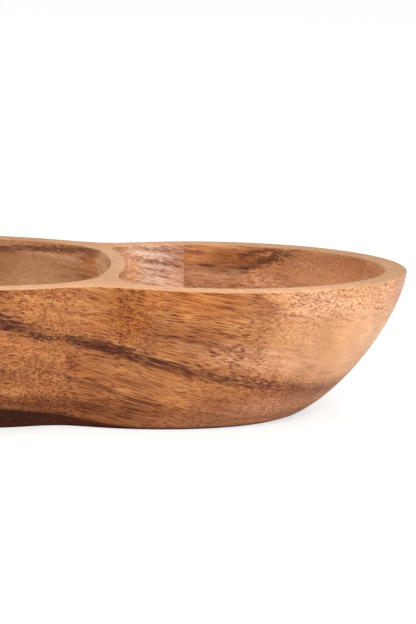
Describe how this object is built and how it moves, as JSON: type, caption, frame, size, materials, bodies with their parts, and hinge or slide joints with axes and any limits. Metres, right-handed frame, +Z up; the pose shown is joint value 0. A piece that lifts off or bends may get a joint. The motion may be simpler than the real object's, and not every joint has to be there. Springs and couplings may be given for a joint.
{
  "type": "divided serving bowl",
  "caption": "Long low wooden serving bowl with three carved sections in line, a flat rim that runs into two curved dividers, and a flat base to stand on.",
  "frame": {"origin": "on the table under the middle of the bowl", "axes": "+X along the bowl to its right-hand end, +Y from the front wall to the back wall, +Z up"},
  "size_m": [0.381, 0.129, 0.0635],
  "materials": {
    "front_left_wood": "satin",
    "front_middle_wood": "satin",
    "front_right_wood": "satin",
    "centre_left_wood": "satin",
    "centre_middle_wood": "satin",
    "centre_right_wood": "satin",
    "back_left_wood": "satin",
    "back_middle_wood": "satin",
    "back_right_wood": "satin"
  },
  "bodies": {
    "root": {"front_left_block": "front_left_wood", "front_middle_block": "front_middle_wood", "front_right_block": "front_right_wood", "centre_left_block": "centre_left_wood", "centre_middle_block": "centre_middle_wood", "centre_right_block": "centre_right_wood", "back_left_block": "back_left_wood", "back_middle_block": "back_middle_wood", "back_right_block": "back_right_wood"}
  },
  "joints": []
}
